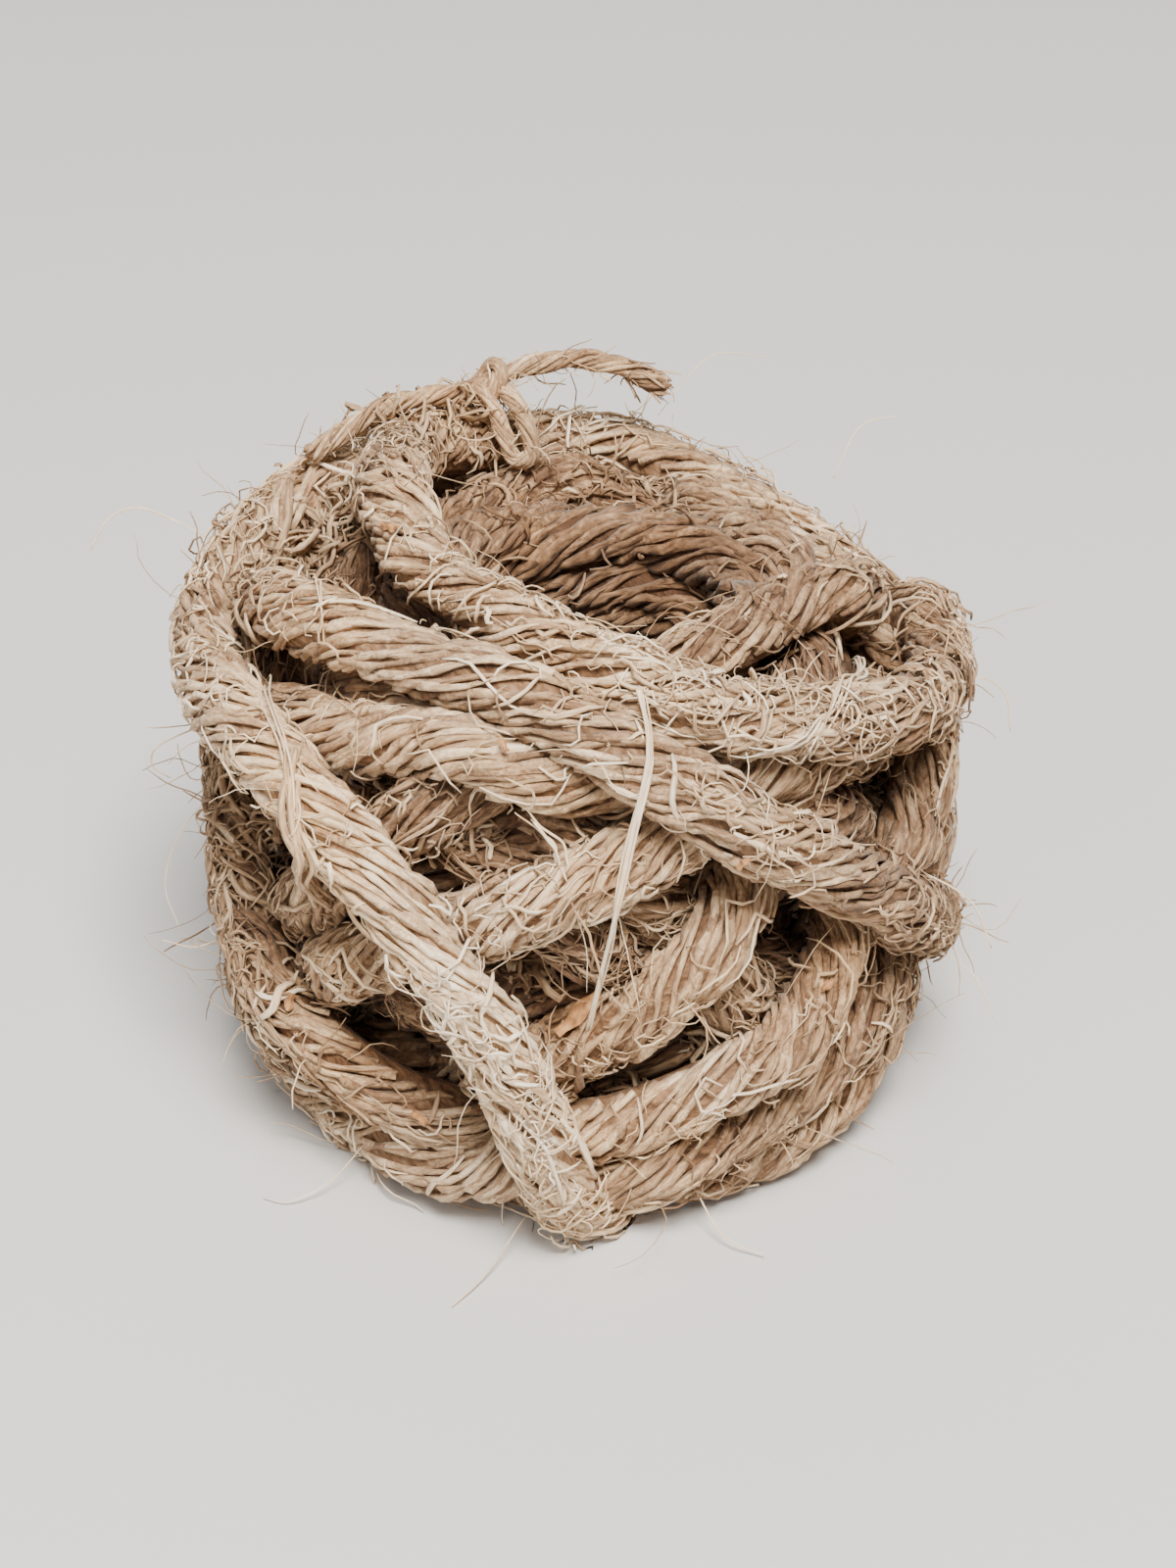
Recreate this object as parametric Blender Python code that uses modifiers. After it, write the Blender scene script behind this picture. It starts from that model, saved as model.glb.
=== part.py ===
# Ball of jute cord: a barrel of crossing turns round an open centre, with a short tie on its rim
import bpy
import bmesh
import math
import numpy as np

for thing in list(bpy.data.objects):
    bpy.data.objects.remove(thing, do_unlink=True)

MM = 0.001

# Sizes in millimetres
CORD_RADIUS = 4.4
BALL_RADIUS = 43.8
BALL_HEIGHT = 77.5
BALL_TAPER = 0.04
WALL_POWER = 4.0
RIM_POWER = 4.2
BASE_POWER = 4.0
HOLE_RADIUS = 14.0
BODY_INSET = 12.5
BODY_HOLE = 19.0
INNER_RISE = 7.6
INNER_LEAN = 1.6
INNER_SWAY = 0.5
TURN_POINTS = 180
SETTLE_ROUNDS = 60
SQUEEZE = 0.82
FLOOR_LIFT = 3.8
SAG = 0.25
SAG_BELOW = 16.0
TIE_RADIUS = 1.25
FLAT_PRESS = 1.3
VOXEL = 1.15
BALL_TRIANGLES = 9400

# One row for each turn: which way its high side faces, how steep it is, how far its plane is
# shifted along its own normal, and how deep it starts below the outside
TURN_COLUMNS = ("name", "highSide", "tilt", "shift", "inset")
TURNS = [
    ("innerRight", -15, 48, 0.0, 15.0),
    ("innerBack", 75, 46, 2.0, 15.0),
    ("innerLeft", 190, 50, -1.0, 15.0),
    ("steepUnder", -140, 54, -8.0, 9.0),
    ("leftUnder", 120, 40, 1.0, 8.5),
    ("rimUnder", 160, 40, 10.0, 9.0),
    ("risingUnder", -48, 49, 3.0, 7.0),
    ("shortRise", 20, 45, 0.0, 8.0),
    ("longRise", -44, 36, -4.0, 5.0),
    ("levelFront", -110, 38, 1.0, 5.0),
    ("lowFront", 77, 26, -10.0, 1.5),
    ("lowRight", 46, 31, -5.0, 1.5),
    ("lowOuter", 106, 33, -5.0, 1.5),
    ("topRing", -153, 18, 27.3, 0.0),
    ("longDescent", -129, 42, 4.0, 1.0),
    ("boldDescent", 173, 49, -2.5, -2.0),
]

# Local bends of a turn: where round the turn, how wide, and how far out of its plane
BEND_COLUMNS = ("turn", "at", "width", "by")
BENDS = [
    ("boldDescent", 8, 28, -16.0),
    ("boldDescent", 126, 24, -15.0),
]

# Rings of inner turns, one above another, round the open centre and behind the outer turns
INNER_COLUMNS = ("radius", "rows", "ahead")
INNER_RINGS = [
    (18.9, 8, 0.0),
    (26.6, 7, 2.0),
]

# The tie's way over the rim, its small loop and its free end
TIE_COLUMNS = ("x", "y", "z")
TIE_RUN = [
    (-30.6, 21.2, 65.6),
    (-26.5, 24.2, 67.3),
    (-22.0, 26.6, 69.2),
    (-17.5, 29.6, 68.9),
    (-13.8, 31.9, 68.3),
    (-10.6, 33.2, 68.8),
    (-7.6, 33.4, 70.2),
    (-4.2, 33.4, 71.3),
    (-0.2, 33.5, 71.7),
    (3.6, 33.6, 71.1),
    (6.9, 33.6, 69.8),
    (10.0, 33.5, 68.0),
]
TIE_LOOP = [
    (-10.0, 32.6, 69.3),
    (-7.6, 30.2, 68.1),
    (-6.0, 27.6, 65.8),
    (-5.6, 26.4, 63.0),
    (-7.4, 26.6, 62.4),
    (-8.6, 27.8, 64.6),
    (-10.0, 30.0, 67.4),
    (-11.4, 32.4, 69.0),
]
TIE_KNOT = [
    (-12.2, 33.4, 67.4),
    (-10.4, 31.6, 68.2),
    (-9.2, 32.2, 70.2),
    (-9.8, 34.4, 70.4),
    (-11.2, 35.0, 68.6),
]


def collection(name):
    made = bpy.data.collections.new(name)
    bpy.context.scene.collection.children.link(made)
    return made


def material(name, colour):
    made = bpy.data.materials.new(name)
    made.use_nodes = True
    shader = made.node_tree.nodes["Principled BSDF"]
    shader.inputs["Base Color"].default_value = (*colour, 1.0)
    shader.inputs["Roughness"].default_value = 0.9
    return made


# How far outside the barrel a point is, for a barrel drawn in by an inset
def barrelValue(points, inset):
    rise = (points[..., 2] - BALL_HEIGHT / 2) / (BALL_HEIGHT / 2 - inset)
    widen = 1 + BALL_TAPER * (points[..., 2] / BALL_HEIGHT - 0.5)
    out = np.hypot(points[..., 0], points[..., 1]) / ((BALL_RADIUS - inset) * widen)
    return out ** WALL_POWER + np.abs(rise) ** np.where(rise < 0, BASE_POWER, RIM_POWER) - 1


def smoothLoop(points, spread):
    span = int(3 * spread)
    offsets = np.arange(-span, span + 1)
    weights = np.exp(-(offsets / spread) ** 2 / 2)
    weights /= weights.sum()
    count = points.shape[-2]
    picked = (np.arange(count)[:, None] + offsets[None, :]) % count
    return (points[..., picked, :] * weights[:, None]).sum(-2)


def evenLoop(points, count):
    closed = np.vstack([points, points[:1]])
    along = np.r_[0, np.cumsum(np.linalg.norm(np.diff(closed, axis=0), axis=1))]
    wanted = np.linspace(0, along[-1], count, endpoint=False)
    return np.stack([np.interp(wanted, along, closed[:, axis]) for axis in range(3)], -1)


# A turn starts as the line where its tilted plane meets the barrel
def turnStart(row):
    turn = dict(zip(TURN_COLUMNS, row))
    side, tilt = math.radians(turn["highSide"]), math.radians(turn["tilt"])
    high = np.array([math.cos(side), math.sin(side), 0.0])
    across = np.array([-math.sin(side), math.cos(side), 0.0])
    uphill = math.cos(tilt) * high + math.sin(tilt) * np.array([0.0, 0.0, 1.0])
    normal = np.cross(uphill, across)
    centre = np.array([0.0, 0.0, BALL_HEIGHT / 2]) + normal * turn["shift"]
    round_ = np.linspace(-180, 180, 360, endpoint=False)
    sway = np.zeros(360)
    for bend in (dict(zip(BEND_COLUMNS, item)) for item in BENDS):
        if bend["turn"] == turn["name"]:
            gap = (round_ - bend["at"] + 180) % 360 - 180
            sway = sway + bend["by"] * np.exp(-(gap / bend["width"]) ** 2)
    angle = np.radians(round_)
    ways = np.outer(np.cos(angle), uphill) + np.outer(np.sin(angle), across)
    base = centre + np.outer(sway, normal)
    near, far = np.zeros(360), np.full(360, 90.0)
    for _ in range(30):
        middle = (near + far) / 2
        inside = barrelValue(base + ways * middle[:, None], CORD_RADIUS + turn["inset"]) < 0
        near, far = np.where(inside, middle, near), np.where(inside, far, middle)
    path = centre + ways * near[:, None] + np.outer(sway, normal)
    return evenLoop(smoothLoop(path, 3.0), TURN_POINTS)


# Turns that meet push each other apart until they lie over and beside one another
def settledTurns():
    start = np.array([turnStart(row) for row in TURNS])
    insets = np.array([row[4] for row in TURNS])
    limits = CORD_RADIUS + np.minimum(insets, 0)
    hold = np.where(insets < 4, 0.06, 0.03)[:, None, None]
    reach = 2 * CORD_RADIUS * SQUEEZE
    middle = np.array([0.0, 0.0, BALL_HEIGHT / 2])
    turns = start.copy()
    for _ in range(SETTLE_ROUNDS):
        push = np.zeros_like(turns)
        hits = np.zeros(turns.shape[:2])
        for one in range(len(turns)):
            for other in range(one):
                apart = turns[one][:, None, :] - turns[other][None, :, :]
                distance = np.sqrt((apart ** 2).sum(-1))
                rows, columns = np.nonzero(distance < reach)
                if len(rows) == 0:
                    continue
                gap = distance[rows, columns]
                shove = ((reach - gap) / np.maximum(gap, 0.3) * 0.5)[:, None] * apart[rows, columns]
                np.add.at(push[one], rows, shove)
                np.add.at(push[other], columns, -shove)
                np.add.at(hits[one], rows, 1)
                np.add.at(hits[other], columns, 1)
        turns = turns + push / np.maximum(hits, 1)[..., None] * 1.6
        turns = turns + hold * (start - turns)
        turns[..., 2] -= SAG * np.clip((SAG_BELOW - turns[..., 2]) / 4, 0, 1)
        turns = 0.5 * turns + 0.5 * smoothLoop(turns, 2.0)
        value = np.stack([barrelValue(turns[i], limits[i]) for i in range(len(turns))]) + 1
        draw = np.where(value > 1, value ** (-1 / 4.1), 1.0)
        turns = middle + (turns - middle) * draw[..., None]
        out = np.hypot(turns[..., 0], turns[..., 1])
        turns[..., :2] *= np.maximum(1, (HOLE_RADIUS + CORD_RADIUS) / np.maximum(out, 0.1))[..., None]
        turns[..., 2] = np.maximum(turns[..., 2], CORD_RADIUS + FLOOR_LIFT)
    turns[..., 2] -= FLOOR_LIFT + FLAT_PRESS
    return turns


def innerTurns():
    angle = np.radians(np.arange(0, 360, 4))
    lowest = CORD_RADIUS - FLAT_PRESS
    lines = []
    for ring in (dict(zip(INNER_COLUMNS, row)) for row in INNER_RINGS):
        for level in range(ring["rows"]):
            out = ring["radius"] + INNER_SWAY * np.sin(2 * angle + 1.7 * level)
            lean = INNER_LEAN * np.cos(angle - 0.9 * level - ring["ahead"])
            rise = np.maximum(lowest + INNER_RISE * level + lean, lowest)
            lines.append(np.stack([out * np.cos(angle), out * np.sin(angle), rise], -1))
    return np.array(lines)


def tube(name, points, radius, closed, into, sides=3):
    curve = bpy.data.curves.new(name, "CURVE")
    curve.dimensions = "3D"
    curve.bevel_depth = radius * MM
    curve.bevel_resolution = sides
    curve.use_fill_caps = not closed
    spline = curve.splines.new("POLY")
    spline.points.add(len(points) - 1)
    for spot, point in zip(spline.points, points):
        spot.co = (point[0] * MM, point[1] * MM, point[2] * MM, 1.0)
    spline.use_cyclic_u = closed
    made = bpy.data.objects.new(name, curve)
    into.objects.link(made)
    return made


# A smooth line through a short table of points, with even steps
def eased(table, step, closed=False):
    points = np.array(table, float)
    if closed:
        points = np.vstack([points[-1:], points, points[:2]])
    else:
        points = np.vstack([2 * points[0] - points[1], points, 2 * points[-1] - points[-2]])
    line = []
    for a, b, c, d in zip(points[:-3], points[1:-2], points[2:-1], points[3:]):
        for t in np.linspace(0, 1, 16, endpoint=False):
            line.append(0.5 * ((2 * b) + (c - a) * t + (2 * a - 5 * b + 4 * c - d) * t ** 2
                               + (3 * b - a - 3 * c + d) * t ** 3))
    if not closed:
        line.append(points[-2])
    line = np.array(line)
    along = np.r_[0, np.cumsum(np.linalg.norm(np.diff(line, axis=0), axis=1))]
    count = max(4, int(along[-1] / step))
    wanted = np.linspace(0, along[-1], count)
    return np.stack([np.interp(wanted, along, line[:, axis]) for axis in range(3)], -1)


# What is packed between the inner and outer turns, as one ring with a soft barrel section
def bodyRing(into):
    half = BALL_HEIGHT / 2 - BODY_INSET
    ring = []
    for step in range(40):
        angle = math.pi * (step / 39 - 0.5)
        out = (BALL_RADIUS - BODY_INSET) * max(0.0, math.cos(angle)) ** (2 / WALL_POWER)
        rise = half * math.copysign(abs(math.sin(angle)) ** (2 / WALL_POWER), math.sin(angle))
        if out > BODY_HOLE + 1:
            ring.append((out, BALL_HEIGHT / 2 - FLOOR_LIFT - FLAT_PRESS + rise))
    ring.append((BODY_HOLE, ring[-1][1]))
    ring.append((BODY_HOLE, ring[0][1]))
    work = bmesh.new()
    loops = []
    for step in range(72):
        turn = 2 * math.pi * step / 72
        loops.append([work.verts.new((out * math.cos(turn) * MM, out * math.sin(turn) * MM, high * MM))
                      for out, high in ring])
    for one, two in zip(loops, loops[1:] + loops[:1]):
        for k in range(len(ring)):
            n = (k + 1) % len(ring)
            work.faces.new((one[k], two[k], two[n], one[n]))
    bmesh.ops.recalc_face_normals(work, faces=work.faces)
    mesh = bpy.data.meshes.new("bodyRing")
    work.to_mesh(mesh)
    work.free()
    made = bpy.data.objects.new("bodyRing", mesh)
    into.objects.link(made)
    return made


def asMesh(name, pieces):
    depsgraph = bpy.context.evaluated_depsgraph_get()
    work = bmesh.new()
    for piece in pieces:
        mesh = bpy.data.meshes.new_from_object(piece.evaluated_get(depsgraph))
        work.from_mesh(mesh)
        bpy.data.meshes.remove(mesh)
    bmesh.ops.remove_doubles(work, verts=work.verts, dist=1e-7)
    mesh = bpy.data.meshes.new(name)
    work.to_mesh(mesh)
    work.free()
    return mesh


# Joins overlapping pieces into one closed skin, without any pocket inside it
def fused(name, pieces, voxel, smooth, triangles, into):
    made = bpy.data.objects.new(name, asMesh(name, pieces))
    into.objects.link(made)
    remesh = made.modifiers.new("join", "REMESH")
    remesh.mode = "VOXEL"
    remesh.voxel_size = voxel * MM
    soften = made.modifiers.new("soften", "SMOOTH")
    soften.factor = 0.5
    soften.iterations = smooth
    bake(made)
    keepOuterSkin(made.data)
    for _ in range(3):
        count = sum(len(face.vertices) - 2 for face in made.data.polygons)
        if count <= triangles:
            break
        fewer = made.modifiers.new("fewer", "DECIMATE")
        fewer.ratio = triangles / count
        bake(made)
    return made


def bake(made):
    depsgraph = bpy.context.evaluated_depsgraph_get()
    mesh = bpy.data.meshes.new_from_object(made.evaluated_get(depsgraph))
    old = made.data
    made.modifiers.clear()
    made.data = mesh
    bpy.data.meshes.remove(old)


def keepOuterSkin(mesh):
    work = bmesh.new()
    work.from_mesh(mesh)
    seen, islands = set(), []
    for first in work.verts:
        if first in seen:
            continue
        island, queue = [], [first]
        seen.add(first)
        while queue:
            spot = queue.pop()
            island.append(spot)
            for edge in spot.link_edges:
                other = edge.other_vert(spot)
                if other not in seen:
                    seen.add(other)
                    queue.append(other)
        islands.append(island)
    islands.sort(key=len)
    for island in islands[:-1]:
        bmesh.ops.delete(work, geom=island, context="VERTS")
    work.to_mesh(mesh)
    work.free()


# The ball's own weight presses the lowest turns flat where they rest
def restFlat(made):
    for vertex in made.data.vertices:
        vertex.co.z = max(0.0, vertex.co.z)
    work = bmesh.new()
    work.from_mesh(made.data)
    bmesh.ops.triangulate(work, faces=work.faces)
    bmesh.ops.dissolve_degenerate(work, edges=work.edges, dist=1e-6)
    bmesh.ops.triangulate(work, faces=work.faces)
    work.to_mesh(made.data)
    work.free()


# The row's origin is under the middle of the ball, so the tie doesn't count
def centred(lead, others):
    xs = [vertex.co.x for vertex in lead.data.vertices]
    ys = [vertex.co.y for vertex in lead.data.vertices]
    shift = (-(min(xs) + max(xs)) / 2, -(min(ys) + max(ys)) / 2)
    for made in [lead] + others:
        for vertex in made.data.vertices:
            vertex.co.x += shift[0]
            vertex.co.y += shift[1]
    print("moved by", [round(part / MM, 3) for part in shift], "mm")


part = collection("jute_cord_ball")
helpers = collection("helpers")

paths = list(settledTurns()) + list(innerTurns())
tubes = [tube("turn" + str(i), path, CORD_RADIUS, True, helpers) for i, path in enumerate(paths)]
winding = fused("winding", [bodyRing(helpers)] + tubes, VOXEL, 3, BALL_TRIANGLES, part)
restFlat(winding)
winding.data.materials.append(material("jute", (0.50, 0.37, 0.24)))

tiePieces = [
    tube("tieRun", eased(TIE_RUN, 1.6), TIE_RADIUS, False, helpers),
    tube("tieLoop", eased(TIE_LOOP, 1.2), TIE_RADIUS * 0.85, False, helpers),
    tube("tieKnot", eased(TIE_KNOT, 1.2, True), TIE_RADIUS * 0.95, True, helpers),
]
tie = fused("tie", tiePieces, 0.42, 2, 1500, part)
tie.data.materials.append(material("twine", (0.47, 0.34, 0.22)))

centred(winding, [tie])

for helper in helpers.objects:
    helper.hide_render = True
    helper.hide_viewport = True
    helper.display_type = "WIRE"
helpers.hide_render = True
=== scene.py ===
# Ball of jute cord: crossing turns of twisted, hairy cord round an open centre, with a thin tie on the rim.
import math
import time

import bpy
import bmesh
import numpy as np
from mathutils import Matrix, Vector


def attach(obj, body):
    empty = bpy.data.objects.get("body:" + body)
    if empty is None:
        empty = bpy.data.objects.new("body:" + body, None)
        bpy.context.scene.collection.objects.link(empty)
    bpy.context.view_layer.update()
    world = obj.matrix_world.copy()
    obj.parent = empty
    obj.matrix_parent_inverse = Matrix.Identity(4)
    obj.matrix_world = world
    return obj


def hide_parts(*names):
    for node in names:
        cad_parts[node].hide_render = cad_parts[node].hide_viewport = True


startTime = time.time()
mm = 0.001
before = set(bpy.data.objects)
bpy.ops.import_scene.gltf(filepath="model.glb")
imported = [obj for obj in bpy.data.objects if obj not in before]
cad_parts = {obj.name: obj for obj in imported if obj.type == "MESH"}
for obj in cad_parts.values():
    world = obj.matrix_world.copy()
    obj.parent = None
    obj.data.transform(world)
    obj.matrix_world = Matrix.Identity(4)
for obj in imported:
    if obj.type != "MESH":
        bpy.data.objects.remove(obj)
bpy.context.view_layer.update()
chance = np.random.default_rng(20)


def report(words):
    print(f"{words}: {time.time() - startTime:.1f} s")


def rowsOf(columns, table):
    return [dict(zip(columns, row)) for row in table]


def unit(vectors):
    return vectors / np.maximum(np.linalg.norm(vectors, axis=-1, keepdims=True), 1e-9)


def stepsOf(points):
    return np.linalg.norm(np.diff(points, axis=0), axis=1)


def placed(name, data):
    made = bpy.data.objects.new(name, data)
    bpy.context.scene.collection.objects.link(made)
    return made


def placedWork(name, work, material):
    mesh = bpy.data.meshes.new(name)
    work.to_mesh(mesh)
    work.free()
    mesh.materials.append(material)
    return placed(name, mesh)


# The winding, as in the solids' own source: sizes in millimetres
ball = {
    "cordRadius": 4.4, "radius": 43.8, "height": 77.5, "taper": 0.04, "holeRadius": 14.0,
    "wallPower": 4.0, "rimPower": 4.2, "basePower": 4.0,
    "turnPoints": 180, "startPoints": 360, "startReach": 90.0, "startRounds": 30, "startSmooth": 3.0,
    "settleRounds": 60, "settleSmooth": 2.0, "squeeze": 0.82, "leastGap": 0.3, "push": 1.6,
    "outerInset": 4, "outerHold": 0.06, "innerHold": 0.03, "drawPower": 4.1,
    "floorLift": 3.8, "sag": 0.25, "sagBelow": 16.0, "sagSpan": 4, "flatPress": 1.3,
    "moved": (0.997, -0.515),
}
# In the tone column the three inner turns are set dark: painted shade inside the hole
turnColumns = ("name", "highSide", "tilt", "shift", "inset", "tone", "hair")
turnTable = [
    ("innerRight", -15, 48, 0.0, 15.0, 0.20, 0.5),
    ("innerBack", 75, 46, 2.0, 15.0, 0.20, 0.5),
    ("innerLeft", 190, 50, -1.0, 15.0, 0.20, 0.5),
    ("steepUnder", -140, 54, -8.0, 9.0, 0.50, 1.0),
    ("leftUnder", 120, 40, 1.0, 8.5, 0.42, 1.0),
    ("rimUnder", 160, 40, 10.0, 9.0, 0.42, 1.1),
    ("risingUnder", -48, 49, 3.0, 7.0, 0.50, 1.1),
    ("shortRise", 20, 45, 0.0, 8.0, 0.54, 0.8),
    ("longRise", -44, 36, -4.0, 5.0, 0.57, 1.0),
    ("levelFront", -110, 38, 1.0, 5.0, 0.56, 1.2),
    ("lowFront", 77, 26, -10.0, 1.5, 0.48, 0.9),
    ("lowRight", 46, 31, -5.0, 1.5, 0.60, 0.7),
    ("lowOuter", 106, 33, -5.0, 1.5, 0.48, 1.0),
    ("topRing", -153, 18, 27.3, 0.0, 0.56, 1.1),
    ("longDescent", -129, 42, 4.0, 1.0, 0.57, 1.0),
    ("boldDescent", 173, 49, -2.5, -2.0, 0.74, 0.8),
]
bendColumns = ("turn", "at", "width", "by")
bendTable = [
    ("boldDescent", 8, 28, -16.0),
    ("boldDescent", 126, 24, -15.0),
]
turnRows = rowsOf(turnColumns, turnTable)
bendRows = rowsOf(bendColumns, bendTable)
moved = np.array([*ball["moved"], 0.0])


def barrelValue(points, inset):
    rise = (points[..., 2] - ball["height"] / 2) / (ball["height"] / 2 - inset)
    widen = 1 + ball["taper"] * (points[..., 2] / ball["height"] - 0.5)
    out = np.hypot(points[..., 0], points[..., 1]) / ((ball["radius"] - inset) * widen)
    power = np.where(rise < 0, ball["basePower"], ball["rimPower"])
    return out ** ball["wallPower"] + np.abs(rise) ** power - 1


def smoothLoop(points, spread):
    span = int(3 * spread)
    offsets = np.arange(-span, span + 1)
    weights = np.exp(-(offsets / spread) ** 2 / 2)
    weights /= weights.sum()
    picked = (np.arange(points.shape[-2])[:, None] + offsets[None, :]) % points.shape[-2]
    return (points[..., picked, :] * weights[:, None]).sum(-2)


def evenLine(points, count, closed=False):
    if closed:
        points = np.vstack([points, points[:1]])
    along = np.r_[0, np.cumsum(stepsOf(points))]
    wanted = np.linspace(0, along[-1], count, endpoint=not closed)
    return np.stack([np.interp(wanted, along, points[:, axis]) for axis in range(3)], -1)


def turnStart(turn):
    count = ball["startPoints"]
    side, tilt = math.radians(turn["highSide"]), math.radians(turn["tilt"])
    high = np.array([math.cos(side), math.sin(side), 0.0])
    across = np.array([-math.sin(side), math.cos(side), 0.0])
    uphill = math.cos(tilt) * high + math.sin(tilt) * np.array([0.0, 0.0, 1.0])
    normal = np.cross(uphill, across)
    centre = np.array([0.0, 0.0, ball["height"] / 2]) + normal * turn["shift"]
    degrees = np.linspace(-180, 180, count, endpoint=False)
    sway = np.zeros(count)
    for bend in bendRows:
        if bend["turn"] == turn["name"]:
            gap = (degrees - bend["at"] + 180) % 360 - 180
            sway = sway + bend["by"] * np.exp(-(gap / bend["width"]) ** 2)
    angle = np.radians(degrees)
    ways = np.outer(np.cos(angle), uphill) + np.outer(np.sin(angle), across)
    base = centre + np.outer(sway, normal)
    near, far = np.zeros(count), np.full(count, ball["startReach"])
    for _ in range(ball["startRounds"]):
        middle = (near + far) / 2
        inside = barrelValue(base + ways * middle[:, None], ball["cordRadius"] + turn["inset"]) < 0
        near, far = np.where(inside, middle, near), np.where(inside, far, middle)
    path = centre + ways * near[:, None] + np.outer(sway, normal)
    return evenLine(smoothLoop(path, ball["startSmooth"]), ball["turnPoints"], closed=True)


def settledTurns():
    start = np.array([turnStart(turn) for turn in turnRows])
    insets = np.array([turn["inset"] for turn in turnRows])
    limits = ball["cordRadius"] + np.minimum(insets, 0)
    hold = np.where(insets < ball["outerInset"], ball["outerHold"], ball["innerHold"])[:, None, None]
    reach = 2 * ball["cordRadius"] * ball["squeeze"]
    middle = np.array([0.0, 0.0, ball["height"] / 2])
    turns = start.copy()
    for _ in range(ball["settleRounds"]):
        push = np.zeros_like(turns)
        hits = np.zeros(turns.shape[:2])
        for one in range(len(turns)):
            for other in range(one):
                apart = turns[one][:, None, :] - turns[other][None, :, :]
                distance = np.sqrt((apart ** 2).sum(-1))
                rows, columns = np.nonzero(distance < reach)
                if len(rows) == 0:
                    continue
                gap = distance[rows, columns]
                half = (reach - gap) / np.maximum(gap, ball["leastGap"]) * 0.5
                shove = half[:, None] * apart[rows, columns]
                np.add.at(push[one], rows, shove)
                np.add.at(push[other], columns, -shove)
                np.add.at(hits[one], rows, 1)
                np.add.at(hits[other], columns, 1)
        turns = turns + push / np.maximum(hits, 1)[..., None] * ball["push"]
        turns = turns + hold * (start - turns)
        turns[..., 2] -= ball["sag"] * np.clip((ball["sagBelow"] - turns[..., 2]) / ball["sagSpan"], 0, 1)
        turns = 0.5 * turns + 0.5 * smoothLoop(turns, ball["settleSmooth"])
        value = np.stack([barrelValue(turns[i], limits[i]) for i in range(len(turns))]) + 1
        draw = np.where(value > 1, value ** (-1 / ball["drawPower"]), 1.0)
        turns = middle + (turns - middle) * draw[..., None]
        out = np.hypot(turns[..., 0], turns[..., 1])
        widest = np.maximum(1, (ball["holeRadius"] + ball["cordRadius"]) / np.maximum(out, 0.1))
        turns[..., :2] *= widest[..., None]
        turns[..., 2] = np.maximum(turns[..., 2], ball["cordRadius"] + ball["floorLift"])
    turns[..., 2] -= ball["floorLift"] + ball["flatPress"]
    return turns + moved


innerColumns = ("radius", "rows", "ahead")
innerTable = [
    (18.9, 8, 0.0),
    (26.6, 7, 2.0),
]
# The inner rings' tones and their even shade are painted shade: they are set dark for the shadow inside the
# hole
inner = {
    "rise": 7.6, "lean": 1.6, "sway": 0.5, "faceUp": 0.55,
    "inset": 20.0, "nearTone": 0.20, "farTone": 0.16, "shade": 0.2, "hair": 0.4,
}


def innerTurns():
    angle = np.radians(np.arange(0, 360, 4))
    lowest = ball["cordRadius"] - ball["flatPress"]
    lines = []
    for ring in rowsOf(innerColumns, innerTable):
        for level in range(ring["rows"]):
            out = ring["radius"] + inner["sway"] * np.sin(2 * angle + 1.7 * level)
            lean = inner["lean"] * np.cos(angle - 0.9 * level - ring["ahead"])
            rise = np.maximum(lowest + inner["rise"] * level + lean, lowest)
            lines.append(np.stack([out * np.cos(angle), out * np.sin(angle), rise], -1) + moved)
    return np.array(lines)


# Shader maths as plain expressions
def feedSlot(tree, value, slot):
    if isinstance(value, Socket):
        tree.links.new(value.socket, slot)
    else:
        slot.default_value = value


class Socket:
    def __init__(self, tree, socket):
        self.tree, self.socket = tree, socket

    def maths(self, operation, *others, swap=False):
        node = self.tree.nodes.new("ShaderNodeMath")
        node.operation = operation
        values = [self, *others]
        if swap:
            values.reverse()
        for slot, value in zip(node.inputs, values):
            feedSlot(self.tree, value, slot)
        return Socket(self.tree, node.outputs[0])

    def __add__(self, other):
        return self.maths("ADD", other)

    __radd__ = __add__

    def __sub__(self, other):
        return self.maths("SUBTRACT", other)

    def __rsub__(self, other):
        return self.maths("SUBTRACT", other, swap=True)

    def __mul__(self, other):
        return self.maths("MULTIPLY", other)

    def kept(self):
        return self.maths("MINIMUM", 1.0).maths("MAXIMUM", 0.0)


class Shader:
    def __init__(self, name):
        self.material = bpy.data.materials.new(name)
        self.material.use_nodes = True
        self.tree = self.material.node_tree
        self.principled = self.tree.nodes["Principled BSDF"]

    def node(self, kind, settings=None, inputs=None, output=0):
        made = self.tree.nodes.new(kind)
        for key, value in (settings or {}).items():
            if key == "stops":
                ramp = made.color_ramp
                while len(ramp.elements) < len(value):
                    ramp.elements.new(0.5)
                for element, (place, colour) in zip(ramp.elements, value):
                    element.position = place
                    element.color = (*colour, 1.0)
            else:
                setattr(made, key, value)
        for key, value in (inputs or {}).items():
            feedSlot(self.tree, value, made.inputs[key])
        return Socket(self.tree, made.outputs[output])

    def feed(self, **values):
        for key, value in values.items():
            feedSlot(self.tree, value, self.principled.inputs[key.replace("_", " ")])


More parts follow.
